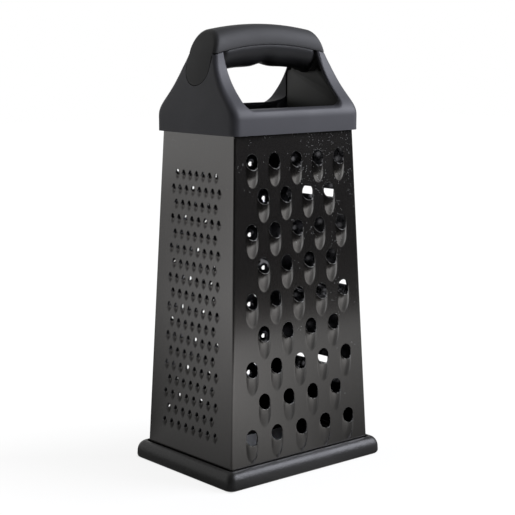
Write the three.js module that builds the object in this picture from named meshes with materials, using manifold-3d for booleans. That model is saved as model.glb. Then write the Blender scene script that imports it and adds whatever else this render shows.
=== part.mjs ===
// A four-sided box grater: punched steel sheets that stand in a base rim, under a moulded cap with a grip.
// Millimetres, +Z up. The origin is the middle of the underside, and the coarse side faces -Y.
import * as THREE from "three";
import Module from "manifold-3d";
import { mergeGeometries, mergeVertices } from "three/addons/utils/BufferGeometryUtils.js";

const wasm = await Module();
wasm.setup();

// Driving dimensions of the body, on the outer faces of the sheets
const bodyBottomWidth = 94.2;
const bodyBottomDepth = 69.8;
const bodyTopWidth = 79.5;
const bodyTopDepth = 57.9;
const bodyHeight = 166.2;
const sheetThickness = 0.6;
const seamFlange = 5;
const tipRise = 0.06;
const fitGap = 0.3;

// Base rim
const rimHeight = 9.3;
const rimReach = 5.6;
const rimCrownHeight = 5.2;
const rimFootInset = 1.3;
const rimCornerRadius = 0.4;
const rimInnerWall = 2;
const grooveDepth = 5.5;

// Coarse side
const coarseRows = 9;
const coarseWideCount = 5;
const coarseFirstRow = 13.1;
const coarseRowPitch = 17.33;
const coarseTopPitch = 14.4;
const coarseBottomPitch = 17.1;
const coarseHoleWidth = 8;
const coarseHoleHeight = 8.6;
const coarseRise = 2;
const coarseRunOut = 9.4;
const coarseTipWidth = 2.8;

// Fine side
const fineRows = 18;
const fineWideCount = 8;
const fineFirstRow = 20.1;
const fineRowPitch = 7.71;
const fineTopPitch = 5.14;
const fineBottomPitch = 6.19;
const fineHoleWidth = 2.4;
const fineHoleHeight = 2.7;
const fineRise = 0.8;
const fineRunOut = 2.2;
const fineTipWidth = 0.6;

// Slicing side
const sliceCount = 3;
const sliceFirstRow = 34.5;
const slicePitch = 47.8;
const sliceLength = 44;
const sliceSlotHeight = 4.8;
const sliceRise = 2.2;
const sliceRunOut = 9;
const sliceTipWidth = 40;

// Zesting side
const zestRows = 30;
const zestWideCount = 7;
const zestFirstRow = 11.2;
const zestRowPitch = 4.95;
const zestTopPitch = 9.5;
const zestBottomPitch = 11.2;
const zestHoleSize = 2.2;

// Cap: skirt, sloping shoulders and window
const capWall = 1.45;
const capCornerRadius = 2.2;
const skirtHeight = 8.5;
const shoulderHeight = 35.6;
const shoulderCrown = 7.7;
const shoulderHollowDepth = 7.7;
const shoulderHollowHeight = 25.9;
const neckDepth = 18.6;
const neckInset = 6.4;
const endFlankCrown = 5.5;
const endFlankHeight = 11;
const endFlankReach = 5;
const ledgeHeight = 7.5;
const ledgeThickness = 1.5;
const ledgeWidth = 3.5;
const postWidth = 9.4;
const windowSill = 3.8;
const windowCornerRadius = 4.5;
const postHeadHeight = 13.1;

// Grip
const gripHeight = 10.4;
const gripArchRadius = 148;
const gripEndRadius = 8;
const partingRadius = 135;
const coreDepth = 10;
const coreDrop = 5;
const coreRise = 4;
const tongueWidth = 18.4;
const tongueDrop = 20.2;
const tongueLap = 3.5;
const tongueThickness = 1.6;
const waveDrop = 12.2;
const waveHeight = 2.2;
const waveLength = 53;
const linerThickness = 1.5;
const linerTabWidth = 3;
const linerTabHeight = 2;
const linerTabSpacing = 19;

// Levels and fits that follow from the driving dimensions
const capBottom = rimHeight + bodyHeight;
const capWidth = bodyTopWidth + 2 * (capWall + fitGap);
const capDepth = bodyTopDepth + 2 * (capWall + fitGap);
const windowWidth = capWidth - 2 * postWidth;
const neckWidth = capWidth - 2 * neckInset;
const shoulderBottom = capBottom + skirtHeight;
const ledgeBottom = capBottom + ledgeHeight;
const ledgeTop = ledgeBottom + ledgeThickness;
const sheetBottom = rimHeight - grooveDepth + fitGap;
const sheetTop = ledgeBottom - fitGap;
const neckTop = shoulderBottom + shoulderHeight;
const postCavityTop = neckTop - postHeadHeight;
const sillTop = shoulderBottom + windowSill;
const gripTop = neckTop + gripHeight;
const gripLength = neckWidth + 2 * capWall;
const mergeTolerance = 1e-4;
const farAway = 2 * (bodyBottomWidth + bodyBottomDepth);

// Width and depth of the body at a height, on its outer faces
function bodySize(height, bottomSize, topSize) {
  return bottomSize + ((topSize - bottomSize) * (height - rimHeight)) / bodyHeight;
}
const bodyWidth = (height) => bodySize(height, bodyBottomWidth, bodyTopWidth);
const bodyDepth = (height) => bodySize(height, bodyBottomDepth, bodyTopDepth);

// Which way a flat outline is extruded or lofted: its own x, y and height in the object's frame
const alongX = new THREE.Matrix4().set(0, 0, 1, 0, 1, 0, 0, 0, 0, 1, 0, 0, 0, 0, 0, 1);
const alongMinusY = new THREE.Matrix4().set(1, 0, 0, 0, 0, 0, -1, 0, 0, 1, 0, 0, 0, 0, 0, 1);
const alongZ = new THREE.Matrix4();

// Points of a flat outline from pairs of numbers
const outline = (pairs) => pairs.map(([x, y]) => new THREE.Vector2(x, y));

// A closed solid through a row of sections that have the same number of points
function loft(sections, direction) {
  const count = sections[0].points.length;
  const positions = [];
  const triangles = [];
  for (const section of sections) {
    const clockwise = THREE.ShapeUtils.isClockWise(section.points);
    for (const point of clockwise ? [...section.points].reverse() : section.points) {
      positions.push(point.x, point.y, section.height);
    }
  }
  for (let ring = 0; ring < sections.length - 1; ring += 1) {
    for (let index = 0; index < count; index += 1) {
      const next = (index + 1) % count;
      const low = ring * count;
      const high = low + count;
      triangles.push(low + index, low + next, high + next);
      triangles.push(low + index, high + next, high + index);
    }
  }
  const last = (sections.length - 1) * count;
  const ringPoints = (start) => {
    return Array.from({ length: count }, (_, index) => {
      return new THREE.Vector2(positions[3 * (start + index)], positions[3 * (start + index) + 1]);
    });
  };
  for (const [a, b, c] of THREE.ShapeUtils.triangulateShape(ringPoints(0), [])) {
    triangles.push(c, b, a);
  }
  for (const [a, b, c] of THREE.ShapeUtils.triangulateShape(ringPoints(last), [])) {
    triangles.push(last + a, last + b, last + c);
  }
  const geometry = new THREE.BufferGeometry();
  geometry.setAttribute("position", new THREE.Float32BufferAttribute(positions, 3));
  geometry.setIndex(triangles);
  return geometry.applyMatrix4(direction);
}

// A prism of a flat outline between two heights
function prism(shape, from, to, direction, curveSegments = 6) {
  const geometry = new THREE.ExtrudeGeometry(shape, { depth: to - from, bevelEnabled: false, curveSegments });
  return geometry.translate(0, 0, from).applyMatrix4(direction);
}

function solid(geometry) {
  const plain = geometry.clone();
  plain.deleteAttribute("normal");
  plain.deleteAttribute("uv");
  const merged = mergeVertices(plain, mergeTolerance);
  const vertProperties = Float32Array.from(merged.attributes.position.array);
  const triVerts = Uint32Array.from(merged.index.array);
  return new wasm.Manifold(new wasm.Mesh({ numProp: 3, vertProperties, triVerts }));
}

// Solids that lie clear of each other, joined into one
function solids(geometries) {
  const bare = geometries.map((geometry) => {
    const copy = geometry.index ? geometry.toNonIndexed() : geometry.clone();
    copy.deleteAttribute("normal");
    copy.deleteAttribute("uv");
    return copy;
  });
  return solid(mergeGeometries(bare));
}

function mesh(name, body, material) {
  const { vertProperties, triVerts } = body.getMesh();
  const geometry = new THREE.BufferGeometry();
  geometry.setAttribute("position", new THREE.BufferAttribute(vertProperties, 3));
  geometry.setIndex(new THREE.BufferAttribute(triVerts, 1));
  geometry.computeVertexNormals();
  const result = new THREE.Mesh(geometry, material);
  result.name = name;
  return result;
}

// A rectangle with rounded corners, as a ring of points
function roundedRectangle(width, depth, radius, cornerSteps = 4) {
  const points = [];
  const corners = [[1, 1, 0], [-1, 1, 1], [-1, -1, 2], [1, -1, 3]];
  for (const [sideX, sideY, quarter] of corners) {
    for (let step = 0; step <= cornerSteps; step += 1) {
      const angle = ((quarter + step / cornerSteps) * Math.PI) / 2;
      const x = sideX * (width / 2 - radius) + radius * Math.cos(angle);
      const y = sideY * (depth / 2 - radius) + radius * Math.sin(angle);
      points.push(new THREE.Vector2(x, y));
    }
  }
  return points;
}

// A ring of the body's own taper, grown outwards by a margin
function bodyPrism(from, to, margin) {
  const section = (height) => ({
    height,
    points: roundedRectangle(bodyWidth(height) + 2 * margin, bodyDepth(height) + 2 * margin, fitGap, 1),
  });
  return loft([section(from), section(to)], alongZ);
}

// Materials
function surface(name, color, roughness, metalness) {
  return new THREE.MeshStandardMaterial({ name, color, roughness, metalness });
}
const coatedSteel = (name) => surface(name, 0x1d1d20, 0.32, 0.6);
const mouldedPlastic = (name) => surface(name, 0x2c2c2f, 0.5, 0);
const softRubber = (name) => surface(name, 0x262624, 0.7, 0);

// Sheets. Each is drawn flat, x across, y up its slope and z outwards, and then stood up on its side.
// Front and rear sheets lie over the flanges of the side sheets, and each pair stands apart by the taper.
const frontLean = Math.atan((bodyBottomDepth - bodyTopDepth) / 2 / bodyHeight);
const sideLean = Math.atan((bodyBottomWidth - bodyTopWidth) / 2 / bodyHeight);
const frontSheet = {
  lean: frontLean,
  flanged: false,
  apartAt: bodyDepth,
  widthAt: bodyWidth,
};
const sideSheet = {
  lean: sideLean,
  flanged: true,
  apartAt: bodyWidth,
  widthAt: (height) => bodyDepth(height) - 2 * (sheetThickness / Math.cos(frontLean) + fitGap),
};

// Distance up the slope of a sheet from its lower edge
const upSlope = (sheet, height) => (height - sheetBottom) / Math.cos(sheet.lean);

// The blank: a plain sheet, or one with a seam flange folded in along each side edge
function sheetBlank(sheet) {
  const section = (height) => {
    const half = sheet.widthAt(height) / 2;
    const inner = half - sheetThickness;
    const plain = [[-half, 0], [-half, -sheetThickness], [half, -sheetThickness], [half, 0]];
    const folded = [
      [-half, 0], [-half, -seamFlange], [-inner, -seamFlange], [-inner, -sheetThickness],
      [inner, -sheetThickness], [inner, -seamFlange], [half, -seamFlange], [half, 0],
    ];
    return { height: -upSlope(sheet, height), points: outline(sheet.flanged ? folded : plain) };
  };
  return solid(loft([section(sheetTop), section(sheetBottom)], alongMinusY));
}

// Places of punches in staggered rows, spread with the taper of the sheet
function staggeredPlaces({ sheet, rows, wideCount, wideFirst, firstRow, rowPitch, topPitch, bottomPitch }) {
  const places = [];
  for (let row = 0; row < rows; row += 1) {
    const height = capBottom - firstRow - row * rowPitch;
    const pitch = bodySize(height, bottomPitch, topPitch);
    const count = (row % 2 === 0) === wideFirst ? wideCount : wideCount - 1;
    for (let column = 0; column < count; column += 1) {
      places.push([(column - (count - 1) / 2) * pitch, upSlope(sheet, height)]);
    }
  }
  return places;
}

const placed = (geometry, [x, y]) => geometry.clone().translate(x, y, 0);

function holes(places, width, height, curveSegments) {
  const rim = new THREE.Shape().absellipse(0, 0, width / 2, height / 2, 0, 2 * Math.PI);
  const punch = prism(rim, -farAway, farAway, alongZ, curveSegments);
  return solids(places.map((place) => placed(punch, place)));
}

// A raised scoop below each hole: full height at the lip, running out to the sheet at its tip.
// The floor is where it ends inside the sheet, and the skin is taken off all round for its hollow.
function scoops(places, { holeHeight, lipWidth, tipWidth, rise, runOut }, floor, skin) {
  const crownShare = 0.6;
  const middleShare = 0.55;
  const section = (drop, width, top) => {
    const half = width / 2 - skin;
    const flat = half * crownShare;
    const crown = top - skin;
    const foot = Math.min(0, crown / 2);
    const ring = [[-half, floor], [half, floor], [half, foot], [flat, crown], [-flat, crown], [-half, foot]];
    return { height: drop, points: outline(ring) };
  };
  const lip = holeHeight / 2;
  const scoop = loft([
    section(0, lipWidth, rise),
    section(lip, lipWidth, rise),
    section(lip + runOut / 2, (lipWidth + tipWidth) / 2, rise * middleShare),
    section(lip + runOut, tipWidth, tipRise),
  ], alongMinusY);
  return solids(places.map((place) => placed(scoop, place)));
}

// A sheet with a hollow scoop raised below each of its holes
function scoopedSheet(sheet, places, scoop, punches) {
  return sheetBlank(sheet)
    .add(scoops(places, scoop, -sheetThickness / 2, 0))
    .subtract(scoops(places, scoop, -2 * sheetThickness, sheetThickness))
    .subtract(punches);
}

function coarseSheet() {
  const places = staggeredPlaces({
    sheet: frontSheet, rows: coarseRows, wideCount: coarseWideCount, wideFirst: true,
    firstRow: coarseFirstRow, rowPitch: coarseRowPitch,
    topPitch: coarseTopPitch, bottomPitch: coarseBottomPitch,
  });
  const scoop = {
    holeHeight: coarseHoleHeight, lipWidth: coarseHoleWidth + 2 * sheetThickness, tipWidth: coarseTipWidth,
    rise: coarseRise, runOut: coarseRunOut,
  };
  return scoopedSheet(frontSheet, places, scoop, holes(places, coarseHoleWidth, coarseHoleHeight, 4));
}

// A small solid tooth below each fine hole
function teeth(places) {
  const floor = -sheetThickness / 2;
  const section = (drop, width, top) => ({
    height: drop,
    points: outline([[-width / 2, floor], [width / 2, floor], [0, top]]),
  });
  const tooth = loft([
    section(0, fineHoleWidth, fineRise),
    section(fineHoleHeight / 2 + fineRunOut, fineTipWidth, tipRise),
  ], alongMinusY);
  return solids(places.map((place) => placed(tooth, place)));
}

function fineSheet() {
  const places = staggeredPlaces({
    sheet: sideSheet, rows: fineRows, wideCount: fineWideCount, wideFirst: false,
    firstRow: fineFirstRow, rowPitch: fineRowPitch,
    topPitch: fineTopPitch, bottomPitch: fineBottomPitch,
  });
  return sheetBlank(sideSheet).add(teeth(places)).subtract(holes(places, fineHoleWidth, fineHoleHeight, 2));
}

function zestSheet() {
  const places = staggeredPlaces({
    sheet: frontSheet, rows: zestRows, wideCount: zestWideCount, wideFirst: true,
    firstRow: zestFirstRow, rowPitch: zestRowPitch,
    topPitch: zestTopPitch, bottomPitch: zestBottomPitch,
  });
  return sheetBlank(frontSheet).subtract(holes(places, zestHoleSize, zestHoleSize, 2));
}

function slicerSheet() {
  const places = [];
  for (let row = 0; row < sliceCount; row += 1) {
    places.push([0, upSlope(sideSheet, capBottom - sliceFirstRow - row * slicePitch)]);
  }
  const blade = {
    holeHeight: sliceSlotHeight, lipWidth: sliceLength + 2 * sheetThickness, tipWidth: sliceTipWidth,
    rise: sliceRise, runOut: sliceRunOut,
  };
  const end = sliceLength / 2;
  const edge = sliceSlotHeight / 2;
  const slot = new THREE.Shape(outline([[-end, -edge], [end, -edge], [end, edge], [-end, edge]]));
  const punch = prism(slot, -farAway, farAway, alongZ);
  return scoopedSheet(sideSheet, places, blade, solids(places.map((place) => placed(punch, place))));
}

// Stands a sheet on its side of the body: a quarter turn for each side, leaning in
function standing(sheetMesh, sheet, quarterTurns) {
  sheetMesh.position.set(0, -sheet.apartAt(sheetBottom) / 2, sheetBottom);
  sheetMesh.rotation.x = Math.PI / 2 - sheet.lean;
  const side = new THREE.Group();
  side.rotation.z = (quarterTurns * Math.PI) / 2;
  side.add(sheetMesh);
  return side;
}

// Base rim: a bead that swells out to its crown, tucks in to its foot, and holds the sheets in a groove
function baseRim() {
  const ring = (height, reach) => {
    const width = bodyBottomWidth + 2 * reach;
    const depth = bodyBottomDepth + 2 * reach;
    return { height, points: roundedRectangle(width, depth, reach + rimCornerRadius) };
  };
  const footReach = rimReach - rimFootInset;
  const footBevel = rimFootInset / 2;
  const rings = [ring(0, footReach - footBevel), ring(footBevel, footReach), ring(rimCrownHeight, rimReach)];
  const crownSteps = 4;
  for (let step = 1; step <= crownSteps; step += 1) {
    const angle = ((step / crownSteps) * Math.PI) / 2;
    const reach = rimReach - (rimReach - fitGap) * (1 - Math.cos(angle));
    rings.push(ring(rimCrownHeight + (rimHeight - rimCrownHeight) * Math.sin(angle), reach));
  }
  const grooveFloor = rimHeight - grooveDepth;
  const grooveInside = -2 * (sheetThickness + fitGap) / Math.cos(sideLean);
  const innerLip = solid(bodyPrism(-farAway, rimHeight, grooveInside));
  const groove = solid(bodyPrism(grooveFloor, farAway, fitGap)).subtract(innerLip);
  const mouth = solid(bodyPrism(-farAway, farAway, grooveInside - rimInnerWall));
  return solid(loft(rings, alongZ)).subtract(groove).subtract(mouth);
}

// Cap outline from the side and from the front: half depth and half width at a height above the skirt
const shoulderCurve = new THREE.CubicBezierCurve(
  new THREE.Vector2(capDepth / 2, shoulderBottom),
  new THREE.Vector2(capDepth / 2, shoulderBottom + shoulderCrown),
  new THREE.Vector2(neckDepth / 2 + shoulderHollowDepth, neckTop - shoulderHollowHeight),
  new THREE.Vector2(neckDepth / 2, neckTop),
);
const flankCurve = new THREE.CubicBezierCurve(
  new THREE.Vector2(capWidth / 2, shoulderBottom),
  new THREE.Vector2(capWidth / 2, shoulderBottom + endFlankCrown),
  new THREE.Vector2(neckWidth / 2 + endFlankReach, neckTop - endFlankHeight),
  new THREE.Vector2(neckWidth / 2, neckTop),
);

// The distance from the middle where a rising curve passes a height
function reachAt(curve, height) {
  if (height <= shoulderBottom) {
    return curve.v0.x;
  }
  let low = 0;
  let high = 1;
  const halvings = 40;
  for (let step = 0; step < halvings; step += 1) {
    const middle = (low + high) / 2;
    if (curve.getPoint(middle).y < height) {
      low = middle;
    } else {
      high = middle;
    }
  }
  return curve.getPoint(low).x;
}

// The cap's outer form, or a form inside it, up to the neck
function capForm(bottom, top, widthInset, depthInset) {
  const steps = 12;
  const heights = [bottom];
  for (let step = 0; step <= steps; step += 1) {
    const height = shoulderBottom + (shoulderHeight * step) / steps;
    if (height > bottom && height < top) {
      heights.push(height);
    }
  }
  heights.push(top);
  const sections = heights.map((height) => ({
    height,
    points: roundedRectangle(
      2 * (reachAt(flankCurve, height) - widthInset),
      2 * (reachAt(shoulderCurve, height) - depthInset),
      Math.max(capCornerRadius - widthInset, fitGap),
    ),
  }));
  return solid(loft(sections, alongZ));
}

// The arched line where the grip cover sits on the cap, seen from the front
const partingAt = (x) => neckTop - partingRadius + Math.sqrt(partingRadius ** 2 - x ** 2);

// The band between two lines that run along with the parting arch, as a prism through the cap
function archBand(halfWidth, lower, upper, depth) {
  const steps = 10;
  const places = Array.from({ length: steps + 1 }, (_, index) => halfWidth * ((2 * index) / steps - 1));
  const shape = new THREE.Shape();
  shape.setFromPoints([
    ...places.map((x) => new THREE.Vector2(x, partingAt(x) + lower)),
    ...places.reverse().map((x) => new THREE.Vector2(x, partingAt(x) + upper)),
  ]);
  return solid(prism(shape, -depth / 2, depth / 2, alongMinusY));
}

// The bar of the cap inside the grip
const gripCore = (margin) => archBand(
  windowWidth / 2 + 2 * capWall, -coreDrop - margin, coreRise + margin, coreDepth + 2 * margin,
);

// The tongue's outline on the end of the cap, as a prism through both ends
function tonguePrism(margin) {
  const half = tongueWidth / 2 + margin;
  const tip = neckTop - tongueDrop - margin;
  const top = partingAt(neckWidth / 2) + tongueLap;
  const shape = new THREE.Shape();
  shape.moveTo(half, top);
  shape.lineTo(-half, top);
  shape.lineTo(-half, tip + half);
  shape.absarc(0, tip + half, half, Math.PI, 2 * Math.PI, false);
  return solid(prism(shape, -farAway, farAway, alongX));
}

function windowPrism() {
  const half = windowWidth / 2;
  const turn = half - windowCornerRadius;
  const rise = sillTop + windowCornerRadius;
  const shape = new THREE.Shape();
  shape.moveTo(half, gripTop);
  shape.lineTo(-half, gripTop);
  shape.lineTo(-half, rise);
  shape.absarc(-turn, rise, windowCornerRadius, Math.PI, 1.5 * Math.PI, false);
  shape.absarc(turn, rise, windowCornerRadius, 1.5 * Math.PI, 2 * Math.PI, false);
  return solid(prism(shape, -farAway, farAway, alongMinusY));
}

// The shelf inside the cap that the sheets butt against, wide under the posts
function capLedge() {
  const shape = new THREE.Shape(roundedRectangle(capWidth - capWall, capDepth - capWall, capCornerRadius));
  const throatWidth = windowWidth - 2 * fitGap;
  const throatDepth = capDepth - 2 * (capWall + ledgeWidth);
  const throat = roundedRectangle(throatWidth, throatDepth, capCornerRadius);
  shape.holes.push(new THREE.Path(throat.reverse()));
  return solid(prism(shape, ledgeBottom, ledgeTop, alongZ));
}

function handleFrame() {
  const skirtRoom = capForm(capBottom - farAway, shoulderBottom, capWall, capWall);
  const postRoom = capForm(shoulderBottom - fitGap, postCavityTop, capWall, capWall);
  const pocket = tonguePrism(fitGap).subtract(capForm(-farAway, farAway, tongueThickness + fitGap, -farAway));
  return capForm(capBottom, neckTop, 0, 0)
    .intersect(archBand(capWidth / 2 + capWall, -gripTop, -fitGap, farAway))
    .subtract(skirtRoom)
    .subtract(postRoom)
    .subtract(windowPrism())
    .subtract(pocket)
    .add(capLedge())
    .add(gripCore(0));
}

// Height of the grip's back along its length: an arch that turns down at the ends
function gripTopAt(x) {
  const arch = gripTop - gripArchRadius + Math.sqrt(gripArchRadius ** 2 - x ** 2);
  const past = Math.max(0, Math.abs(x) - (gripLength / 2 - gripEndRadius)) / gripEndRadius;
  const fall = 1 - Math.sqrt(Math.max(0, 1 - past ** 2));
  return arch - fall * (arch - partingAt(x) - fitGap);
}

// Stations along the grip, closer together where its ends turn down
function stations(half, count) {
  return Array.from({ length: count + 1 }, (_, index) => -half * Math.cos((index / count) * Math.PI));
}

// A section of the grip above or below the parting arch, as a half ellipse
function halfRound(x, edge, peak, steps = 10) {
  const half = reachAt(shoulderCurve, partingAt(x));
  const points = [];
  for (let step = 0; step <= steps; step += 1) {
    const angle = (step / steps) * Math.PI;
    points.push(new THREE.Vector2(half * Math.cos(angle), edge + (peak - edge) * Math.sin(angle)));
  }
  return { height: x, points };
}

function gripCover() {
  const sections = stations(gripLength / 2, 16).map((x) => halfRound(x, partingAt(x), gripTopAt(x)));
  const dome = solid(loft(sections, alongX));
  const tongues = tonguePrism(0)
    .intersect(capForm(capBottom, neckTop, 0, 0))
    .subtract(capForm(-farAway, farAway, tongueThickness, -farAway));
  return dome.add(tongues).subtract(gripCore(fitGap));
}

function gripUnderside() {
  const half = windowWidth / 2 - fitGap;
  const waveAt = (x) => neckTop - waveDrop + waveHeight * Math.cos((2 * Math.PI * x) / waveLength);
  const count = 14;
  const places = Array.from({ length: count + 1 }, (_, index) => half * ((2 * index) / count - 1));
  const body = solid(loft(places.map((x) => halfRound(x, partingAt(x) - fitGap, waveAt(x))), alongX));
  return body.subtract(gripCore(fitGap));
}

// A plate that closes a hollow post, from the ledge to the post's head, with two clip tabs on top
function postLiner() {
  const foot = ledgeTop + fitGap;
  const top = postCavityTop - fitGap - linerTabHeight;
  const half = reachAt(shoulderCurve, top) - capWall - fitGap;
  const shape = new THREE.Shape();
  shape.moveTo(-half, foot);
  shape.lineTo(half, foot);
  shape.lineTo(half, top);
  for (const side of [1, -1]) {
    const near = side * (linerTabSpacing / 2) + linerTabWidth / 2;
    const far = near - linerTabWidth;
    shape.lineTo(near, top);
    shape.lineTo(near, top + linerTabHeight);
    shape.lineTo(far, top + linerTabHeight);
    shape.lineTo(far, top);
  }
  shape.lineTo(-half, top);
  const inside = windowWidth / 2 + fitGap;
  return solid(prism(shape, inside, inside + linerThickness, alongX));
}

const grater = new THREE.Group();
grater.add(standing(mesh("coarse_panel", coarseSheet(), coatedSteel("coarse_steel")), frontSheet, 0));
grater.add(standing(mesh("slicer_panel", slicerSheet(), coatedSteel("slicer_steel")), sideSheet, 1));
grater.add(standing(mesh("zest_panel", zestSheet(), coatedSteel("zest_steel")), frontSheet, 2));
grater.add(standing(mesh("fine_panel", fineSheet(), coatedSteel("fine_steel")), sideSheet, 3));
grater.add(mesh("base_rim", baseRim(), softRubber("rim_rubber")));
grater.add(mesh("handle_frame", handleFrame(), mouldedPlastic("cap_plastic")));
grater.add(mesh("grip_cover", gripCover(), softRubber("grip_rubber")));
grater.add(mesh("grip_underside", gripUnderside(), mouldedPlastic("underside_plastic")));
grater.add(mesh("post_liner_right", postLiner(), mouldedPlastic("right_liner_plastic")));
const leftPost = new THREE.Group();
leftPost.rotation.z = Math.PI;
leftPost.add(mesh("post_liner_left", postLiner(), mouldedPlastic("left_liner_plastic")));
grater.add(leftPost);

export default grater;
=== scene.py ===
import math

import bmesh
import bpy
from mathutils import Matrix, Vector


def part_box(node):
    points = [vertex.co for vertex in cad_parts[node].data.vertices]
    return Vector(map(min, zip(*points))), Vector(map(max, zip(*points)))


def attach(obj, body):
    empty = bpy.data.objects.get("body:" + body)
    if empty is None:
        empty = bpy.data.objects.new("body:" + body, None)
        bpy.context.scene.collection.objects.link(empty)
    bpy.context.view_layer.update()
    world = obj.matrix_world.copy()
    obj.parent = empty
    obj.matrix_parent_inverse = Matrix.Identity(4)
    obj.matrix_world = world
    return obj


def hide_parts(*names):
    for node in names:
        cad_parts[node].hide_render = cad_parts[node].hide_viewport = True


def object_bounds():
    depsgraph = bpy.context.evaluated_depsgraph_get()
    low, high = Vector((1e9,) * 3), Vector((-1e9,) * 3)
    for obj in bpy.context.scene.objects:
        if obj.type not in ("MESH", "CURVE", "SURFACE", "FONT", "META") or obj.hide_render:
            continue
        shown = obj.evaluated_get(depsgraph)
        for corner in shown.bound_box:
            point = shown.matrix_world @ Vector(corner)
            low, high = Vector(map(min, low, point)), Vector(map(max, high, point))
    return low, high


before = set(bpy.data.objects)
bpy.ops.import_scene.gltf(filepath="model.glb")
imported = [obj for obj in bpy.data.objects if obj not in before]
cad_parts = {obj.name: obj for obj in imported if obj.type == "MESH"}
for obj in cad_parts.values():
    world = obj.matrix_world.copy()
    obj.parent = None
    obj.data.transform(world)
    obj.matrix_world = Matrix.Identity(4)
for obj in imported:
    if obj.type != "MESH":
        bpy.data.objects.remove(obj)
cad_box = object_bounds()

# Base rim
# A soft ring moulded from black thermoplastic rubber. It swells out round the foot of the body,
# keeps the grater from slipping, and holds the lower edges of the steel sheets in a groove.
MM = 0.001
rim_reach = 5.6 * MM
rim_crown_reach = 5.9 * MM
rim_foot_reach = 6.0 * MM
rim_foot_round = 1.8 * MM
rim_crown_height = 3.6 * MM
rim_bead_middle = 1.7 * MM
rim_dip = 2.2 * MM
rim_seam = 0.9 * MM
groove_floor = 4.2 * MM
groove_width = 1.9 * MM
inner_lip = 2 * MM
rim_corner = 1.1 * MM
rim_corner_growth = 0.55
rim_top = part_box("base_rim")[1].z
body_bottom_half_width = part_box("base_rim")[1].x - rim_reach
body_bottom_half_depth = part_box("base_rim")[1].y - rim_reach
foot_steps, crown_steps, dip_steps = 4, 10, 6


def linear(hex_colour):
    """A colour written as sRGB hex, in the linear values that shaders take."""
    channels = [int(hex_colour[index:index + 2], 16) / 255 for index in (1, 3, 5)]
    return [c / 12.92 if c <= 0.04045 else ((c + 0.055) / 1.055) ** 2.4 for c in channels] + [1]


def add_node(tree, kind, settings=None, links=None):
    """Adds a node. Settings go to its properties or inputs. Links join its inputs to the outputs of others,
    where a node stands for its first output."""
    node = tree.nodes.new(kind)
    for name, value in (settings or {}).items():
        if isinstance(name, str) and hasattr(node, name):
            setattr(node, name, value)
        else:
            node.inputs[name].default_value = value
    for name, source in (links or {}).items():
        output = source.outputs[0] if isinstance(source, bpy.types.Node) else source
        tree.links.new(output, node.inputs[name])
    return node


def new_material(name):
    """An empty material, with its tree and the piece's own coordinates."""
    material = bpy.data.materials.new(name)
    material.use_nodes = True
    tree = material.node_tree
    tree.nodes.clear()
    return material, tree, add_node(tree, "ShaderNodeTexCoord").outputs["Object"]


def ring(half_width, half_depth, radius, height, steps=8):
    """Points round a rectangle with rounded corners."""
    points = []
    for quarter, (side_x, side_y) in enumerate([(1, 1), (-1, 1), (-1, -1), (1, -1)]):
        for step in range(steps + 1):
            angle = (quarter + step / steps) * math.pi / 2
            x = side_x * (half_width - radius) + radius * math.cos(angle)
            y = side_y * (half_depth - radius) + radius * math.sin(angle)
            points.append((x, y, height))
    return points


def grid_faces(rows, columns, wrap_rows=False, wrap_columns=False):
    """Faces between rows of points that are listed one row after another."""
    faces = []
    for row in range(rows if wrap_rows else rows - 1):
        for column in range(columns if wrap_columns else columns - 1):
            right = (column + 1) % columns
            above = (row + 1) % rows
            faces.append((row * columns + column, row * columns + right,
                          above * columns + right, above * columns + column))
    return faces


def new_piece(name, points, faces, material):
    """A mesh object at the origin, with one material."""
    mesh = bpy.data.meshes.new(name)
    mesh.from_pydata(points, [], faces)
    mesh.materials.append(material)
    piece = bpy.data.objects.new(name, mesh)
    bpy.context.scene.collection.objects.link(piece)
    return piece


def apply_modifiers(piece):
    """Turns the piece into a plain mesh."""
    evaluated = piece.evaluated_get(bpy.context.evaluated_depsgraph_get())
    finished = bpy.data.meshes.new_from_object(evaluated)
    finished.name = piece.name
    piece.modifiers.clear()
    piece.data = finished


def settle(piece, node, sharp_degrees=35, thickness=0, bevel=0, inner_material=0):
    """Applies wall thickness and eased edges, shades the mesh, and puts the piece in a CAD node's place."""
    if thickness:
        wall = piece.modifiers.new("wall", "SOLIDIFY")
        wall.thickness = thickness
        wall.offset = -1
        wall.use_even_offset = True
        wall.material_offset = inner_material
        wall.material_offset_rim = inner_material
    if bevel:
        edge = piece.modifiers.new("eased_edges", "BEVEL")
        edge.width = bevel
        edge.segments = 2
        edge.limit_method = "ANGLE"
        edge.angle_limit = math.radians(60)
    apply_modifiers(piece)
    piece.data.shade_smooth()
    piece.data.set_sharp_from_angle(angle=math.radians(sharp_degrees))
    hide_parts(node)
    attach(piece, "root")


def quarter_round(centre, start, end, steps):
    """Points of a quarter ellipse about a centre, from one end of its arc to the other."""
    points = []
    for step in range(steps + 1):
        angle = step / steps * math.pi / 2
        points.append(tuple(c + (s - c) * math.cos(angle) + (e - c) * math.sin(angle)
                            for c, s, e in zip(centre, start, end)))
    return points


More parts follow.
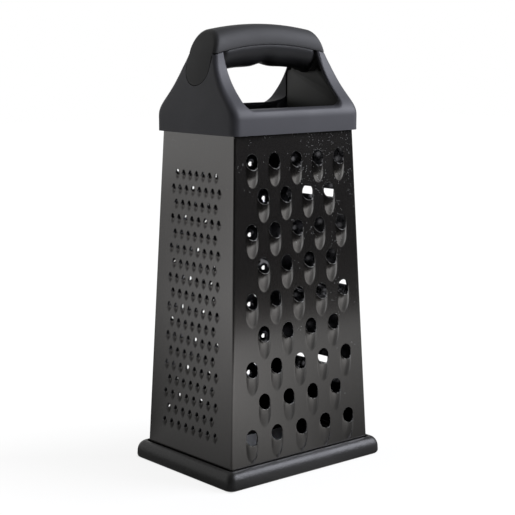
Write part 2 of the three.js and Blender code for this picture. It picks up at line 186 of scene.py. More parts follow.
def soft_rubber(low_colour, high_colour, shine, glossy, dull, grain_size, grain_strength):
    # Thermoplastic rubber from a spark-eroded mould: a satin skin whose grain spreads the light, with
    # faint cloudy marks where hands and water have been. The grain is drawn coarser than the real one
    # so that it shows.
    cloud_size = 14 * MM
    grain_height = 0.15 * MM
    material, tree, place = new_material("satin_thermoplastic_rubber")
    grain, cloud = [
        add_node(tree, "ShaderNodeTexNoise", {"Scale": 1 / size, "Detail": detail}, {"Vector": place})
        for size, detail in ((grain_size, 3), (cloud_size, 4))]
    tint = add_node(tree, "ShaderNodeMix", {
        "data_type": "RGBA", 6: linear(low_colour), 7: linear(high_colour)}, {0: cloud})
    satin = add_node(tree, "ShaderNodeMapRange", {"To Min": glossy, "To Max": dull}, {"Value": cloud})
    bump = add_node(tree, "ShaderNodeBump", {
        "Strength": grain_strength, "Distance": grain_height}, {"Height": grain})
    skin = add_node(tree, "ShaderNodeBsdfPrincipled", {"IOR": 1.5, "Specular IOR Level": shine}, {
        "Base Color": tint.outputs[2], "Roughness": satin, "Normal": bump})
    add_node(tree, "ShaderNodeOutputMaterial", links={"Surface": skin})
    return material


foot_edge = rim_foot_reach - rim_foot_round
rim_profile = [(-groove_width - inner_lip, 0)]
rim_profile += quarter_round((foot_edge, rim_foot_round), (foot_edge, 0),
                             (rim_foot_reach, rim_foot_round), foot_steps)
rim_profile += quarter_round((rim_bead_middle, rim_crown_height), (rim_crown_reach, rim_crown_height),
                             (rim_bead_middle, rim_top), crown_steps)
rim_profile += quarter_round((rim_bead_middle, rim_top - rim_dip), (rim_bead_middle, rim_top),
                             (rim_seam, rim_top - rim_dip), dip_steps)[1:]
rim_profile += [(rim_seam, groove_floor), (-groove_width, groove_floor)]
rim_profile += [(-groove_width, rim_top), (-groove_width - inner_lip, rim_top)]
rim_points = []
for reach, height in rim_profile:
    corner = rim_corner + rim_corner_growth * max(0, reach)
    rim_points += ring(body_bottom_half_width + reach, body_bottom_half_depth + reach, corner, height)
rim_columns = len(rim_points) // len(rim_profile)
rim_faces = grid_faces(len(rim_profile), rim_columns, wrap_rows=True, wrap_columns=True)
rim_rubber = soft_rubber("#20201e", "#282726", shine=0.37, glossy=0.34, dull=0.48,
                         grain_size=1.6 * MM, grain_strength=0.7)
rim = new_piece("rim_moulding", rim_points, rim_faces, rim_rubber)
settle(rim, "base_rim")

# Steel sheets
# Four sheets of thin steel with a black baked coating. Each is punched while flat, rolled over along
# its side edges to close the corners of the body, and clamped between the rim and the cap.
sheet_thickness = 0.6 * MM
sheet_lift = 0.5 * MM
sheet_bottom = groove_floor + sheet_lift
sheet_top = 182.4 * MM
body_top = 175.5 * MM
body_top_half_width = 39.75 * MM
body_top_half_depth = 28.95 * MM
corner_round = 1.1 * MM
corner_allowance = 0.3 * MM
flat_band = 0.8 * MM
roll_angle = math.radians(45)
roll_steps = 6
width_taper = (body_bottom_half_width - body_top_half_width) / (body_top - rim_top)
depth_taper = (body_bottom_half_depth - body_top_half_depth) / (body_top - rim_top)


def half_width_at(height):
    """How far the left and right sheets stand from the middle at a height."""
    return body_top_half_width + corner_allowance + width_taper * (body_top - height)


def half_depth_at(height):
    """How far the front and rear sheets stand from the middle at a height."""
    return body_top_half_depth + corner_allowance + depth_taper * (body_top - height)


def baked_coating():
    # Steel with a black baked coating: semi-gloss, so it mirrors the table softly, with an orange-peel
    # ripple, slightly duller patches from wiping, and pale flecks in the paint, which also stand in as
    # painted glints and so gather in patches towards the top and the right, where the light falls. The flecks
    # are drawn coarser than real pigment so that they show.
    ripple_size = 1.6 * MM
    ripple_height = 0.05 * MM
    wiped_size = 22 * MM
    fleck_spacing = 1.1 * MM
    fleck_radius = 0.15
    fleck_patch = 9 * MM
    material, tree, place = new_material("black_baked_coating_on_steel")
    peel, wiped, patch = [
        add_node(tree, "ShaderNodeTexNoise", {"Scale": 1 / size, "Detail": detail}, {"Vector": place})
        for size, detail in ((ripple_size, 2), (wiped_size, 5), (fleck_patch, 2))]
    specks = add_node(tree, "ShaderNodeTexVoronoi", {"Scale": 1 / fleck_spacing}, {"Vector": place})
    speck = add_node(tree, "ShaderNodeMath", {"operation": "LESS_THAN", 1: fleck_radius}, {
        0: specks.outputs["Distance"]})
    spot = add_node(tree, "ShaderNodeSeparateXYZ", links={0: place})
    # Painted glints: the flecks grow denser towards the top and the right, where the light catches the sheet.
    glints_denser_at_top = add_node(tree, "ShaderNodeMapRange", {
        "From Min": 90 * MM, "From Max": 180 * MM, "To Min": -0.72, "To Max": -0.45}, {
        "Value": spot.outputs["Z"]})
    glints_denser_at_right = add_node(tree, "ShaderNodeMapRange", {
        "From Min": -36 * MM, "From Max": 10 * MM, "To Min": -0.14, "To Max": 0.04}, {
        "Value": spot.outputs["X"]})
    level = add_node(tree, "ShaderNodeMath", {"operation": "ADD"}, {0: glints_denser_at_top, 1: glints_denser_at_right})
    dense = add_node(tree, "ShaderNodeMath", {"operation": "ADD"}, {0: patch, 1: level})
    some = add_node(tree, "ShaderNodeMath", {"operation": "GREATER_THAN", 1: 0}, {0: dense})
    fleck_and_glint = add_node(tree, "ShaderNodeMath", {"operation": "MULTIPLY"}, {0: speck, 1: some})
    paint = add_node(tree, "ShaderNodeMix", {
        "data_type": "RGBA", 6: linear("#100f0e"), 7: linear("#161513")}, {0: wiped})
    colour = add_node(tree, "ShaderNodeMix", {"data_type": "RGBA", 7: linear("#989896")}, {
        0: fleck_and_glint, 6: paint.outputs[2]})
    gloss = add_node(tree, "ShaderNodeMapRange", {"To Min": 0.18, "To Max": 0.26}, {"Value": wiped})
    bump = add_node(tree, "ShaderNodeBump", {"Strength": 0.05, "Distance": ripple_height}, {"Height": peel})
    coat = add_node(tree, "ShaderNodeBsdfPrincipled", {
        "IOR": 1.5, "Specular Tint": linear("#fff6ee"),
        "Coat Weight": 1, "Coat IOR": 1.6, "Coat Roughness": 0.14}, {
        "Base Color": colour.outputs[2], "Roughness": gloss, "Normal": bump})
    add_node(tree, "ShaderNodeOutputMaterial", links={"Surface": coat})
    return material


def bare_mill_steel():
    # The inner side and the cut edges, which have no coating: grey steel as it comes from the mill, with
    # rolling lines up the sheet. The lines are drawn coarser than the real ones so that they show.
    line_width = 0.9 * MM
    line_stretch = (1, 1, 0.04)
    material, tree, place = new_material("bare_mill_finish_steel")
    along = add_node(tree, "ShaderNodeVectorMath", {"operation": "MULTIPLY", 1: line_stretch}, {0: place})
    lines = add_node(tree, "ShaderNodeTexNoise", {"Scale": 1 / line_width, "Detail": 3}, {"Vector": along})
    tint = add_node(tree, "ShaderNodeMix", {
        "data_type": "RGBA", 6: linear("#6a6a6d"), 7: linear("#808084")}, {0: lines})
    dull = add_node(tree, "ShaderNodeMapRange", {"To Min": 0.07, "To Max": 0.15}, {"Value": lines})
    steel = add_node(tree, "ShaderNodeBsdfPrincipled", {"Metallic": 1}, {
        "Base Color": tint.outputs[2], "Roughness": dull})
    add_node(tree, "ShaderNodeOutputMaterial", links={"Surface": steel})
    return material


def worn_cut_edge():
    # The lip round a large hole, where the coating is rubbed through to the steel in places: broken
    # bright metal, dulled by use. It is drawn wider than the real wear so that it shows.
    wear_size = 1.4 * MM
    material, tree, place = new_material("steel_edge_with_worn_coating")
    rubbed = add_node(tree, "ShaderNodeTexNoise", {"Scale": 1 / wear_size, "Detail": 3}, {"Vector": place})
    bare = add_node(tree, "ShaderNodeMapRange", {"From Min": 0.4, "From Max": 0.62}, {"Value": rubbed})
    colour = add_node(tree, "ShaderNodeMix", {
        "data_type": "RGBA", 6: linear("#242423"), 7: linear("#a2a2a0")}, {0: bare})
    dull = add_node(tree, "ShaderNodeMapRange", {"To Min": 0.4, "To Max": 0.6}, {"Value": rubbed})
    lip = add_node(tree, "ShaderNodeBsdfPrincipled", {"Metallic": 1}, {
        "Base Color": colour.outputs[2], "Roughness": dull})
    add_node(tree, "ShaderNodeOutputMaterial", links={"Surface": lip})
    return material


def smooth(share):
    """A share from 0 to 1 that starts and ends gently."""
    share = min(1, max(0, share))
    return share * share * (3 - 2 * share)


def oval(half_width, half_height, squareness, angle):
    """A point of an oval that goes from an ellipse towards a rectangle as squareness grows from 2."""
    x = math.copysign(abs(math.cos(angle)) ** (2 / squareness), math.cos(angle))
    y = math.copysign(abs(math.sin(angle)) ** (2 / squareness), math.sin(angle))
    return half_width * x, half_height * y


def punched_patch(hole_halves, squareness, lip_squareness, lip_half_width, run_out, rise, spokes, steps,
                  tip_power, margin, worn=0):
    """A hole with a scoop pressed out below it, as rings of points from its edge to a flat outline.
    The scoop climbs beside the hole to its lip, then falls away to a tip, more steeply as it goes.
    Where the lip is worn, its first ring is as narrow as the wear."""
    hole_half_width, hole_half_height = hole_halves
    headroom = 0.12 * lip_half_width
    climb_start = 0.3 * hole_half_height
    climb_length = 1.25 * hole_half_height
    tip_roundness = 0.65
    fall_along = 1.3
    fall_across = 1.15
    ring_spread = 0.8
    tip = -hole_half_height - run_out
    least_half = 1e-6

    def half_at(y):
        """Half the width of the scoop at a height."""
        along = max(0, (-hole_half_height - y) / run_out)
        return lip_half_width * max(0, 1 - min(1, along) ** tip_power) ** tip_roundness

    def height_at(x, y):
        """How far the scoop stands out at a spot."""
        along = max(0, (-hole_half_height - y) / run_out)
        climb = smooth((climb_start - y) / climb_length)
        across = min(1, abs(x) / max(half_at(y), least_half))
        crown = (1 - across ** (squareness + 1)) ** fall_across
        return rise * climb * max(0, 1 - along ** 2) ** fall_along * crown

    edge, border = [], []
    for spoke in range(spokes):
        angle = 2 * math.pi * spoke / spokes
        edge_squareness = squareness if math.sin(angle) >= 0 else lip_squareness
        edge.append(oval(hole_half_width, hole_half_height, edge_squareness, angle))
        if math.sin(angle) >= 0:
            border.append(oval(lip_half_width, hole_half_height + headroom, squareness, angle))
        else:
            y = tip * -math.sin(angle)
            border.append((math.copysign(half_at(y), math.cos(angle)), y))
    rings = [[(step / steps) ** ring_spread] * spokes for step in range(steps + 1)]
    if worn:
        most = rings[1][0] / 2
        rings.insert(1, [min(most, worn / math.dist(inner, outer)) for inner, outer in zip(edge, border)])
    points = []
    for shares in rings:
        for share, (x0, y0), (x1, y1) in zip(shares, edge, border):
            x, y = x0 + (x1 - x0) * share, y0 + (y1 - y0) * share
            points.append((x, y, 0 if share == 1 else height_at(x, y)))
    for spoke, (x, y) in enumerate(border):
        before, after = border[spoke - 1], border[(spoke + 1) % spokes]
        across = Vector((after[1] - before[1], before[0] - after[0])).normalized() * margin
        points.append((x + across.x, y + across.y, 0))
    faces = grid_faces(len(rings) + 1, spokes, wrap_columns=True)
    return points, [face[::-1] for face in faces], spokes


def punched_sheet_tree():
    """A tree that repeats the punched patch in staggered rows and fills in the flat sheet round them."""
    weld_distance = 0.005 * MM
    tree = bpy.data.node_groups.new("punched_sheet", "GeometryNodeTree")
    tree.interface.new_socket("Patch and rolled edges", in_out="INPUT", socket_type="NodeSocketGeometry")
    for name in ("Rows", "Columns", "Short first", "Stagger"):
        tree.interface.new_socket(name, in_out="INPUT", socket_type="NodeSocketInt")
    for name in ("First row", "Row pitch", "Bottom pitch", "Top pitch", "Height", "Bottom width",
                 "Top width"):
        tree.interface.new_socket(name, in_out="INPUT", socket_type="NodeSocketFloat")
    for name in ("Coating", "Worn edge"):
        tree.interface.new_socket(name, in_out="INPUT", socket_type="NodeSocketMaterial")
    tree.interface.new_socket("Sheet", in_out="OUTPUT", socket_type="NodeSocketGeometry")
    given = add_node(tree, "NodeGroupInput").outputs

    # Each point's number gives its row and column. A staggered row has one hole less.
    index = add_node(tree, "GeometryNodeInputIndex")
    rows_before = add_node(tree, "ShaderNodeMath", {"operation": "DIVIDE"}, {0: index, 1: given["Columns"]})
    row = add_node(tree, "ShaderNodeMath", {"operation": "FLOOR"}, {0: rows_before})
    row_start = add_node(tree, "ShaderNodeMath", {"operation": "MULTIPLY"}, {0: row, 1: given["Columns"]})
    column = add_node(tree, "ShaderNodeMath", {"operation": "SUBTRACT"}, {0: index, 1: row_start})
    counted = add_node(tree, "ShaderNodeMath", {"operation": "ADD"}, {0: row, 1: given["Short first"]})
    odd = add_node(tree, "ShaderNodeMath", {"operation": "MODULO", 1: 2}, {0: counted})
    short = add_node(tree, "ShaderNodeMath", {"operation": "MULTIPLY"}, {0: odd, 1: given["Stagger"]})
    full_last = add_node(tree, "ShaderNodeMath", {"operation": "SUBTRACT", 1: 1}, {0: given["Columns"]})
    last = add_node(tree, "ShaderNodeMath", {"operation": "SUBTRACT"}, {0: full_last, 1: short})
    down = add_node(tree, "ShaderNodeMath", {"operation": "MULTIPLY"}, {0: row, 1: given["Row pitch"]})
    up = add_node(tree, "ShaderNodeMath", {"operation": "SUBTRACT"}, {0: given["First row"], 1: down})
    pitch = add_node(tree, "ShaderNodeMapRange", links={
        "Value": up, "From Max": given["Height"],
        "To Min": given["Bottom pitch"], "To Max": given["Top pitch"]})
    row_middle = add_node(tree, "ShaderNodeMath", {"operation": "DIVIDE", 1: 2}, {0: last})
    off_middle = add_node(tree, "ShaderNodeMath", {"operation": "SUBTRACT"}, {0: column, 1: row_middle})
    across = add_node(tree, "ShaderNodeMath", {"operation": "MULTIPLY"}, {0: off_middle, 1: pitch})
    spot = add_node(tree, "ShaderNodeCombineXYZ", links={"X": across, "Y": up})
    count = add_node(tree, "ShaderNodeMath", {"operation": "MULTIPLY"}, {
        0: given["Rows"], 1: given["Columns"]})
    points = add_node(tree, "GeometryNodePoints", links={"Count": count, "Position": spot})
    row_end = add_node(tree, "ShaderNodeMath", {"operation": "ADD", 1: 0.5}, {0: last})
    spare = add_node(tree, "ShaderNodeMath", {"operation": "GREATER_THAN"}, {0: column, 1: row_end})
    spots = add_node(tree, "GeometryNodeDeleteGeometry", links={"Geometry": points, "Selection": spare})

    # The patch goes to each spot, and its outline is cut out of the flat sheet there.
    is_patch = add_node(tree, "GeometryNodeInputNamedAttribute", {"data_type": "BOOLEAN", "Name": "punched"})
    parted = add_node(tree, "GeometryNodeSeparateGeometry", {"domain": "FACE"}, {
        "Geometry": given["Patch and rolled edges"], "Selection": is_patch.outputs["Attribute"]})
    is_outline = add_node(tree, "GeometryNodeInputNamedAttribute", {
        "data_type": "BOOLEAN", "Name": "outline"})
    outline = add_node(tree, "GeometryNodeMeshToCurve", links={
        "Mesh": parted.outputs["Selection"], "Selection": is_outline.outputs["Attribute"]})
    patches = add_node(tree, "GeometryNodeInstanceOnPoints", links={
        "Points": spots, "Instance": parted.outputs["Selection"]})
    outlines = add_node(tree, "GeometryNodeInstanceOnPoints", links={"Points": spots, "Instance": outline})
    sheet = add_node(tree, "GeometryNodeCurvePrimitiveQuadrilateral", {"mode": "TRAPEZOID", "Offset": 0.0}, {
        "Height": given["Height"],
        "Bottom Width": given["Bottom width"], "Top Width": given["Top width"]})
    half_height = add_node(tree, "ShaderNodeMath", {"operation": "DIVIDE", 1: 2}, {0: given["Height"]})
    lift = add_node(tree, "ShaderNodeCombineXYZ", links={"Y": half_height})
    raised = add_node(tree, "GeometryNodeTransform", links={"Geometry": sheet, "Translation": lift})
    cut_lines = add_node(tree, "GeometryNodeRealizeInstances", links={0: outlines})
    edges = add_node(tree, "GeometryNodeJoinGeometry")
    for part in (cut_lines, raised):
        tree.links.new(part.outputs[0], edges.inputs[0])
    flat = add_node(tree, "GeometryNodeFillCurve", links={0: edges})
    whole = add_node(tree, "GeometryNodeJoinGeometry")
    for part in (flat.outputs[0], patches.outputs[0], parted.outputs["Inverted"]):
        tree.links.new(part, whole.inputs[0])
    real = add_node(tree, "GeometryNodeRealizeInstances", links={0: whole})
    merged = add_node(tree, "GeometryNodeMergeByDistance", {"Distance": weld_distance}, {"Geometry": real})
    coated = add_node(tree, "GeometryNodeSetMaterial", links={
        "Geometry": merged, "Material": given["Coating"]})
    is_worn = add_node(tree, "GeometryNodeInputNamedAttribute", {"data_type": "BOOLEAN", "Name": "worn"})
    edged = add_node(tree, "GeometryNodeSetMaterial", links={
        "Geometry": coated, "Selection": is_worn.outputs["Attribute"], "Material": given["Worn edge"]})
    add_node(tree, "NodeGroupOutput", links={0: edged})
    return tree


def add_grid(points, faces, grid, columns, side_x, side_y, flip):
    """Adds a grid of points to a larger mesh, mirrored where a side is -1."""
    start = len(points)
    points += [(side_x * x, side_y * y, z) for x, y, z in grid]
    for face in grid_faces(len(grid) // columns, columns):
        face = [start + corner for corner in face]
        faces.append(face[::-1] if flip else face)


punched_sheet = punched_sheet_tree()
coating = baked_coating()
bare_steel = bare_mill_steel()
worn_edge = worn_cut_edge()


def steel_sheet(name, node, turn, patch, pattern, worn=False):
    """Makes one sheet flat, x across, y up its slope and z outwards, and stands it on a side of the body."""
    front = turn % 2 == 0
    half_at, apart_at = (half_width_at, half_depth_at) if front else (half_depth_at, half_width_at)
    lean = math.atan(depth_taper if front else width_taper)
    height = (sheet_top - sheet_bottom) / math.cos(lean)
    halves = [half_at(sheet_bottom) - corner_round, half_at(sheet_top) - corner_round]
    patch_points, patch_faces, spokes = patch
    points, faces = list(patch_points), list(patch_faces)
    rolled_edge = []
    for half, y in zip(halves, (0, height)):
        rolled_edge.append((half - flat_band, y, 0))
        for step in range(roll_steps + 1):
            angle = roll_angle * step / roll_steps
            x, z = half + corner_round * math.sin(angle), corner_round * (math.cos(angle) - 1)
            rolled_edge.append((x, y, z))
    for side in (-1, 1):
        add_grid(points, faces, rolled_edge, roll_steps + 2, side, 1, side < 0)
    piece = new_piece(name, points, faces, coating)
    mesh = piece.data
    marked_faces = {"punched": len(patch_faces), "worn": spokes if worn else 0}
    for mark, count in marked_faces.items():
        attribute = mesh.attributes.new(mark, "BOOLEAN", "FACE")
        attribute.data.foreach_set("value", [index < count for index in range(len(faces))])
    border = range(len(patch_points) - spokes, len(patch_points))
    outline = mesh.attributes.new("outline", "BOOLEAN", "EDGE")
    outline.data.foreach_set("value", [all(v in border for v in edge.vertices) for edge in mesh.edges])
    modifier = piece.modifiers.new("punched_sheet", "NODES")
    modifier.node_group = punched_sheet
    sizes = dict(pattern)
    sizes["First row"] = height - (sheet_top - body_top + pattern["First row"]) / math.cos(lean)
    sizes["Row pitch"] = pattern["Row pitch"] / math.cos(lean)
    sizes["Height"] = height
    sizes["Bottom width"], sizes["Top width"] = [2 * (half - flat_band) for half in halves]
    sizes["Coating"], sizes["Worn edge"] = coating, worn_edge
    for socket in punched_sheet.interface.items_tree:
        if socket.in_out == "INPUT" and socket.name in sizes:
            modifier[socket.identifier] = sizes[socket.name]
    apply_modifiers(piece)
    piece.data.materials.append(bare_steel)
    settle(piece, node, sharp_degrees=40, thickness=sheet_thickness,
           inner_material=len(piece.data.materials) - 1)
    upright = Matrix.Rotation(math.pi / 2 - lean, 4, "X")
    foot = Matrix.Translation((0, -apart_at(sheet_bottom), sheet_bottom))
    piece.data.transform(Matrix.Rotation(turn * math.pi / 2, 4, "Z") @ foot @ upright)


# Coarse sheet
# The front sheet, for shredding. Its large holes are punched in staggered rows that spread with the
# sheet, and below each a broad scoop is pressed out, whose cut lip is worn bright.
coarse_patch = punched_patch((3.75 * MM, 3.95 * MM), squareness=2, lip_squareness=2.2,
                             lip_half_width=3.95 * MM, run_out=9.5 * MM, rise=1.6 * MM,
                             spokes=40, steps=9, tip_power=3, margin=0.395 * MM, worn=0.3 * MM)
steel_sheet("coarse_sheet", "coarse_panel", 0, coarse_patch, {
    "Rows": 9, "Columns": 5, "Short first": 0, "Stagger": 1, "First row": 13.1 * MM, "Row pitch": 17.33 * MM,
    "Bottom pitch": 17.1 * MM, "Top pitch": 14.4 * MM}, worn=True)

# Slicing sheet
# The right sheet, for slicing. Three long slots are cut across it, one above the other, and below each
# the steel is pressed out into a broad blade.
slicing_patch = punched_patch((22 * MM, 2.4 * MM), squareness=8, lip_squareness=8,
                              lip_half_width=23.2 * MM, run_out=9 * MM, rise=2.2 * MM,
                              spokes=72, steps=8, tip_power=6, margin=flat_band)
steel_sheet("slicing_sheet", "slicer_panel", 1, slicing_patch, {
    "Rows": 3, "Columns": 1, "Short first": 0, "Stagger": 0, "First row": 35.2 * MM, "Row pitch": 47.1 * MM,
    "Bottom pitch": 1 * MM, "Top pitch": 1 * MM})

# Fine sheet
# The left sheet, for fine grating. Its small holes are punched close together in staggered rows, each
# with a short scoop pressed out below it.
fine_patch = punched_patch((1.15 * MM, 1.15 * MM), squareness=2, lip_squareness=2.2,
                           lip_half_width=1.3 * MM, run_out=3.4 * MM, rise=1.3 * MM,
                           spokes=14, steps=3, tip_power=2, margin=0.13 * MM)
steel_sheet("fine_sheet", "fine_panel", 3, fine_patch, {
    "Rows": 18, "Columns": 8, "Short first": 1, "Stagger": 1, "First row": 20.1 * MM, "Row pitch": 7.71 * MM,
    "Bottom pitch": 6.19 * MM, "Top pitch": 5.14 * MM})


# Zesting sheet
# The rear sheet, for zest. Its small round holes are pierced outwards with a spike, which bursts the
# steel and leaves a ragged crown of points round each.
def pierced_patch(hole_radius, spokes, high, low):
    """A pierced hole, as rings of points from the tips of its crown to a flat outline."""
    slope_spread, foot_spread, outline_spread = 1.4, 1.9, 2.1
    slope_share = 0.3
    tip_every = 3
    crown = [high if spoke % tip_every == 0 else low for spoke in range(spokes)]
    slope = [slope_share * high] * spokes
    flat = [0] * spokes
    points = []
    for spread, heights in ((1, crown), (slope_spread, slope), (foot_spread, flat), (outline_spread, flat)):
        for spoke, height in enumerate(heights):
            angle = 2 * math.pi * spoke / spokes
            radius = spread * hole_radius
            points.append((radius * math.cos(angle), radius * math.sin(angle), height))
    faces = grid_faces(len(points) // spokes, spokes, wrap_columns=True)
    return points, [face[::-1] for face in faces], spokes


zesting_patch = pierced_patch(1.5 * MM, spokes=12, high=0.8 * MM, low=0.35 * MM)
steel_sheet("zesting_sheet", "zest_panel", 2, zesting_patch, {
    "Rows": 30, "Columns": 7, "Short first": 0, "Stagger": 1, "First row": 11.2 * MM, "Row pitch": 4.95 * MM,
    "Bottom pitch": 11.2 * MM, "Top pitch": 9.5 * MM})

# Cap and posts
# One moulding of matt black polypropylene. Its skirt closes over the top of the sheets, hollow shoulders
# sweep up into two posts that carry the grip, and a finger opening goes right through between the posts.
cap_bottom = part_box("handle_frame")[0].z
cap_allowance = 1.2 * MM
cap_half_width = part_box("handle_frame")[1].x + cap_allowance
cap_half_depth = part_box("handle_frame")[1].y + cap_allowance
cap_corner = 4.4 * MM
neck_corner = 2.2 * MM
cap_wall = 1.2 * MM
skirt_edge = 0.3 * MM
skirt_top = 183.2 * MM
neck_height = 219.6 * MM
neck_half_width = 36 * MM
neck_half_depth = 9.5 * MM
end_crown = 0.8 * MM
shoulder_rise = 8.8 * MM
shoulder_spread = 7.7 * MM
shoulder_drop = 25.9 * MM
flank_rise = 6.8 * MM
flank_spread = 4.2 * MM
flank_drop = 11 * MM
shoulder = [(cap_half_depth, skirt_top), (cap_half_depth, skirt_top + shoulder_rise),
            (neck_half_depth + shoulder_spread, neck_height - shoulder_drop), (neck_half_depth, neck_height)]
flank = [(cap_half_width, skirt_top), (cap_half_width, skirt_top + flank_rise),
         (neck_half_width + flank_spread, neck_height - flank_drop), (neck_half_width, neck_height)]
parting_radius = 150 * MM
tongue_half_width = 9.2 * MM
tongue_length = 20.2 * MM
tongue_tip = neck_height - tongue_length
tongue_centre = tongue_tip + tongue_half_width
tongue_gap = 0.32 * MM
pocket_radius = tongue_half_width + tongue_gap
sill_height = 187.8 * MM
window_half_width = 32.3 * MM
window_taper = 1.5 * MM
window_corner = 4.5 * MM
window_round = 1.3 * MM
edge_radius = window_corner + window_round
edge_centre_x = window_half_width - window_corner
edge_centre_z = sill_height + window_corner
return_half_depth = 14.9 * MM
least_return = 0.4 * MM
sill_return = 3.4 * MM
sill_lift = 0.35 * MM
liner_lap = 2 * MM
liner_gap = 0.15 * MM
skirt_rows, window_corner_rows, post_rows, tongue_rows, top_rows = 3, 10, 7, 15, 5
end_columns, corner_columns, front_columns, sill_columns = 12, 8, 10, 24
least_end_share = 0.1
least_corner_share = 0.3
round_columns, wall_columns = 6, 3
return_columns = round_columns + wall_columns


def reach_at(curve, height):
    """How far a curve of (reach, height) points stands out at a height. Past its ends it runs straight on."""
    if height <= curve[0][1]:
        return curve[0][0]
    if height >= curve[3][1]:
        slope = (curve[3][0] - curve[2][0]) / (curve[3][1] - curve[2][1])
        return curve[3][0] + slope * (height - curve[3][1])
    low, high = 0, 1
    halvings = 24
    for _ in range(halvings):
        share = (low + high) / 2
        weights = ((1 - share) ** 3, 3 * share * (1 - share) ** 2, 3 * share ** 2 * (1 - share), share ** 3)
        if sum(weight * point[1] for weight, point in zip(weights, curve)) < height:
            low = share
        else:
            high = share
    return sum(weight * point[0] for weight, point in zip(weights, curve))


def parting_at(x):
    """The arched line where the grip's cover meets what is under it."""
    return neck_height - parting_radius + math.sqrt(parting_radius ** 2 - x ** 2)


def corner_at(height):
    """The radius of the cap's upright corners, which grow tighter up to the neck."""
    share = smooth((height - skirt_top) / (tongue_centre - skirt_top))
    return cap_corner + (neck_corner - cap_corner) * share


def end_reach(y, height):
    """How far out the end of the cap or the grip lies, with its rounded corners and slight crown."""
    half_depth = reach_at(shoulder, height)
    corner = corner_at(height)
    over = min(corner, max(0, abs(y) - half_depth + corner))
    crown = end_crown * (1 - (y / half_depth) ** 2)
    return reach_at(flank, height) - corner + math.sqrt(corner ** 2 - over ** 2) + crown


def moulded_plastic(name, low_colour, high_colour, dull, glossy):
    # Polypropylene from a lightly etched mould: matt, a little lighter where it has been rubbed, with a
    # fine leathery grain. The grain is drawn coarser than the real one so that it shows.
    grain_size = 0.45 * MM
    grain_height = 0.05 * MM
    rubbed_size = 18 * MM
    material, tree, place = new_material(name)
    grain, rubbed = [
        add_node(tree, "ShaderNodeTexNoise", {"Scale": 1 / size, "Detail": detail}, {"Vector": place})
        for size, detail in ((grain_size, 3), (rubbed_size, 5))]
    tint = add_node(tree, "ShaderNodeMix", {
        "data_type": "RGBA", 6: linear(low_colour), 7: linear(high_colour)}, {0: rubbed})
    satin = add_node(tree, "ShaderNodeMapRange", {"To Min": dull, "To Max": glossy}, {"Value": rubbed})
    bump = add_node(tree, "ShaderNodeBump", {"Strength": 0.15, "Distance": grain_height}, {"Height": grain})
    skin = add_node(tree, "ShaderNodeBsdfPrincipled", {"IOR": 1.49, "Specular IOR Level": 0.34}, {
        "Base Color": tint.outputs[2], "Roughness": satin, "Normal": bump})
    add_node(tree, "ShaderNodeOutputMaterial", links={"Surface": skin})
    return material


def steps_between(start, end, count):
    """Even steps from a start towards an end, without the end."""
    return [start + (end - start) * step / count for step in range(count)]


def quarter_turns(count):
    """The angles of even steps through a quarter turn, without its end."""
    return steps_between(0, math.pi / 2, count)


def edge_of_window(height):
    """The window's edge before it is rounded over: its x, and the way from there into the opening."""
    drop = min(1, max(0, (edge_centre_z - height) / edge_radius))
    across = math.sqrt(1 - drop ** 2)
    lean = max(0, (height - edge_centre_z) / (neck_height - edge_centre_z)) ** 2
    return edge_centre_x + edge_radius * across - window_taper * lean, across, drop


cap_heights = [cap_bottom, cap_bottom + skirt_edge]
cap_heights += steps_between(skirt_top, sill_height - window_round, skirt_rows)
window_rows = len(cap_heights)
cap_heights += [edge_centre_z - edge_radius * math.cos(angle) for angle in quarter_turns(window_corner_rows)]
cap_heights += steps_between(edge_centre_z, tongue_tip - tongue_gap, post_rows)
cap_heights += [tongue_centre - pocket_radius * math.cos(angle) for angle in quarter_turns(tongue_rows)]
top_heights_start = len(cap_heights)
cap_heights += steps_between(tongue_centre, parting_at(neck_half_width), top_rows)
cap_heights.append(parting_at(neck_half_width) - tongue_gap)


def post_row(height, is_top):
    """Points along one half of a post, from the middle of its end round the corner to the window's edge.
    Where the tongue's pocket is cut out, the row starts at the edge of the pocket."""
    half_depth = reach_at(shoulder, height)
    radius = corner_at(height)
    flat = half_depth - radius
    front_x = reach_at(flank, height) - radius
    pocket = 0
    if height > tongue_tip - 2 * tongue_gap:
        pocket = math.sqrt(max(0, pocket_radius ** 2 - max(0, tongue_centre - height) ** 2))
    start = pocket if pocket < flat else flat + radius * math.asin((pocket - flat) / radius)
    front = flat + radius * math.pi / 2
    edge = front + front_x - edge_of_window(height)[0]
    corner = max(flat, start + least_end_share * (edge - start))
    front_start = max(front, corner + least_corner_share * (edge - corner))
    places = steps_between(start, corner, end_columns) + steps_between(corner, front_start, corner_columns)
    places += steps_between(front_start, edge, front_columns) + [edge]
    row = []
    for place in places:
        if place < front:
            y = place if place < flat else flat + radius * math.sin((place - flat) / radius)
            x = end_reach(y, height)
        else:
            x, y = front_x - (place - front), half_depth
        z = height
        if is_top:
            share = (height - tongue_centre) / (cap_heights[-1] - tongue_centre)
            z = tongue_centre + share * (parting_at(x) - tongue_gap - tongue_centre)
        row.append((x, y, z))
    return row


def window_return(x, inward_x, inward_z, z, corner_share, wall_end):
    """Points from the window's edge over its rounded corner and back along its inner wall."""
    row = []
    for angle in steps_between(0, math.pi / 2, round_columns - 1) + [math.pi / 2]:
        reach = window_round * math.sin(angle)
        height = z + inward_z * reach
        y = reach_at(shoulder, height) - window_round * (1 - math.cos(angle))
        row.append((x - inward_x * reach, y, height))
    last_x, last_y, last_z = row[-1]
    sill_end = last_y - sill_return
    side_end = min(wall_end, last_y - least_return)
    end = sill_end + (side_end - sill_end) * smooth(corner_share)
    for step in range(1, wall_columns + 1):
        share = step / wall_columns
        row.append((last_x, last_y + (end - last_y) * share, last_z + inward_z * sill_lift * share))
    return row


